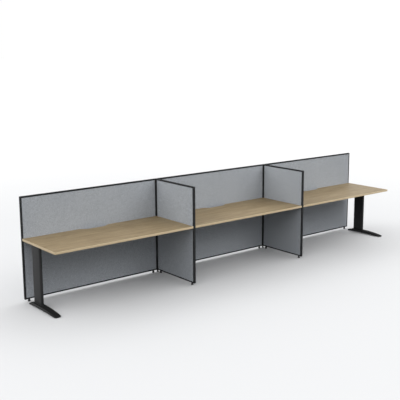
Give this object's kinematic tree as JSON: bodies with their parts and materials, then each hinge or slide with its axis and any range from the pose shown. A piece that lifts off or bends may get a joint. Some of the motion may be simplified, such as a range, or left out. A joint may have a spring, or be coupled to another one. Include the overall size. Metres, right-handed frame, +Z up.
{
  "type": "study carrel",
  "caption": "Row of study carrel desks between charcoal-framed grey fabric screens, with oak worktops and arched-foot end legs.",
  "frame": {"origin": "on the floor, under the middle of the whole row: the bottom centre of the overall box at rest", "axes": "+X along the row, from the left bay to the right bay as a seated reader sees them; -Y out of the open fronts, so the back screens are on the +Y side; +Z up"},
  "size_m": [5.46, 0.78, 1.2],
  "materials": {
    "charcoal_frame": "satin",
    "grey_fabric": "matte",
    "oak_laminate": "satin",
    "black_steel": "satin",
    "black_plastic": "matte"
  },
  "bodies": {
    "root": {"back_screen_left_bottom_rail": "charcoal_frame", "back_screen_left_end_post": "charcoal_frame", "back_screen_left_fabric_board": "grey_fabric", "back_screen_left_start_post": "charcoal_frame", "back_screen_left_top_rail": "charcoal_frame", "back_screen_middle_bottom_rail": "charcoal_frame", "back_screen_middle_end_post": "charcoal_frame", "back_screen_middle_fabric_board": "grey_fabric", "back_screen_middle_start_post": "charcoal_frame", "back_screen_middle_top_rail": "charcoal_frame", "back_screen_right_bottom_rail": "charcoal_frame", "back_screen_right_end_post": "charcoal_frame", "back_screen_right_fabric_board": "grey_fabric", "back_screen_right_start_post": "charcoal_frame", "back_screen_right_top_rail": "charcoal_frame", "divider_left_bottom_rail": "charcoal_frame", "divider_left_end_post": "charcoal_frame", "divider_left_fabric_board": "grey_fabric", "divider_left_start_post": "charcoal_frame", "divider_left_top_rail": "charcoal_frame", "divider_right_bottom_rail": "charcoal_frame", "divider_right_end_post": "charcoal_frame", "divider_right_fabric_board": "grey_fabric", "divider_right_start_post": "charcoal_frame", "divider_right_top_rail": "charcoal_frame", "end_leg_column_left": "black_steel", "end_leg_column_right": "black_steel", "end_leg_foot_left": "black_steel", "end_leg_foot_right": "black_steel", "end_leg_plate_left": "black_steel", "end_leg_plate_right": "black_steel", "junction_post_left": "charcoal_frame", "junction_post_right": "charcoal_frame", "worktop_beam_left": "black_steel", "worktop_beam_middle": "black_steel", "worktop_beam_right": "black_steel", "worktop_bracket_left": "black_steel", "worktop_bracket_middle_left": "black_steel", "worktop_bracket_middle_right": "black_steel", "worktop_bracket_right": "black_steel", "worktop_left": "oak_laminate", "worktop_middle": "oak_laminate", "worktop_right": "oak_laminate"},
    "back_screen_left_end_glide": {"back_screen_left_end_glide": "black_plastic"},
    "back_screen_left_start_glide": {"back_screen_left_start_glide": "black_plastic"},
    "back_screen_middle_end_glide": {"back_screen_middle_end_glide": "black_plastic"},
    "back_screen_middle_start_glide": {"back_screen_middle_start_glide": "black_plastic"},
    "back_screen_right_end_glide": {"back_screen_right_end_glide": "black_plastic"},
    "back_screen_right_start_glide": {"back_screen_right_start_glide": "black_plastic"},
    "divider_left_end_glide": {"divider_left_end_glide": "black_plastic"},
    "divider_left_start_glide": {"divider_left_start_glide": "black_plastic"},
    "divider_right_end_glide": {"divider_right_end_glide": "black_plastic"},
    "divider_right_start_glide": {"divider_right_start_glide": "black_plastic"},
    "end_leg_left_front_glide": {"end_leg_left_front_glide": "black_plastic"},
    "end_leg_left_rear_glide": {"end_leg_left_rear_glide": "black_plastic"},
    "end_leg_right_front_glide": {"end_leg_right_front_glide": "black_plastic"},
    "end_leg_right_rear_glide": {"end_leg_right_rear_glide": "black_plastic"},
    "junction_foot_left": {"junction_foot_left": "black_plastic"},
    "junction_foot_right": {"junction_foot_right": "black_plastic"}
  },
  "joints": [
    {"name": "back_screen_left_end_glide_screw", "type": "slide", "parent": "root", "child": "back_screen_left_end_glide", "axis": [0, 0, 1], "range_m": [-0.015, 0.003]},
    {"name": "back_screen_left_start_glide_screw", "type": "slide", "parent": "root", "child": "back_screen_left_start_glide", "axis": [0, 0, 1], "range_m": [-0.015, 0.003]},
    {"name": "back_screen_middle_end_glide_screw", "type": "slide", "parent": "root", "child": "back_screen_middle_end_glide", "axis": [0, 0, 1], "range_m": [-0.015, 0.003]},
    {"name": "back_screen_middle_start_glide_screw", "type": "slide", "parent": "root", "child": "back_screen_middle_start_glide", "axis": [0, 0, 1], "range_m": [-0.015, 0.003]},
    {"name": "back_screen_right_end_glide_screw", "type": "slide", "parent": "root", "child": "back_screen_right_end_glide", "axis": [0, 0, 1], "range_m": [-0.015, 0.003]},
    {"name": "back_screen_right_start_glide_screw", "type": "slide", "parent": "root", "child": "back_screen_right_start_glide", "axis": [0, 0, 1], "range_m": [-0.015, 0.003]},
    {"name": "divider_left_end_glide_screw", "type": "slide", "parent": "root", "child": "divider_left_end_glide", "axis": [0, 0, 1], "range_m": [-0.015, 0.003]},
    {"name": "divider_left_start_glide_screw", "type": "slide", "parent": "root", "child": "divider_left_start_glide", "axis": [0, 0, 1], "range_m": [-0.015, 0.003]},
    {"name": "divider_right_end_glide_screw", "type": "slide", "parent": "root", "child": "divider_right_end_glide", "axis": [0, 0, 1], "range_m": [-0.015, 0.003]},
    {"name": "divider_right_start_glide_screw", "type": "slide", "parent": "root", "child": "divider_right_start_glide", "axis": [0, 0, 1], "range_m": [-0.015, 0.003]},
    {"name": "end_leg_left_front_glide_screw", "type": "slide", "parent": "root", "child": "end_leg_left_front_glide", "axis": [0, 0, 1], "range_m": [-0.008, 0.001]},
    {"name": "end_leg_left_rear_glide_screw", "type": "slide", "parent": "root", "child": "end_leg_left_rear_glide", "axis": [0, 0, 1], "range_m": [-0.008, 0.001]},
    {"name": "end_leg_right_front_glide_screw", "type": "slide", "parent": "root", "child": "end_leg_right_front_glide", "axis": [0, 0, 1], "range_m": [-0.008, 0.001]},
    {"name": "end_leg_right_rear_glide_screw", "type": "slide", "parent": "root", "child": "end_leg_right_rear_glide", "axis": [0, 0, 1], "range_m": [-0.008, 0.001]},
    {"name": "junction_foot_left_screw", "type": "slide", "parent": "root", "child": "junction_foot_left", "axis": [0, 0, 1], "range_m": [-0.012, 0.015]},
    {"name": "junction_foot_right_screw", "type": "slide", "parent": "root", "child": "junction_foot_right", "axis": [0, 0, 1], "range_m": [-0.012, 0.015]}
  ]
}
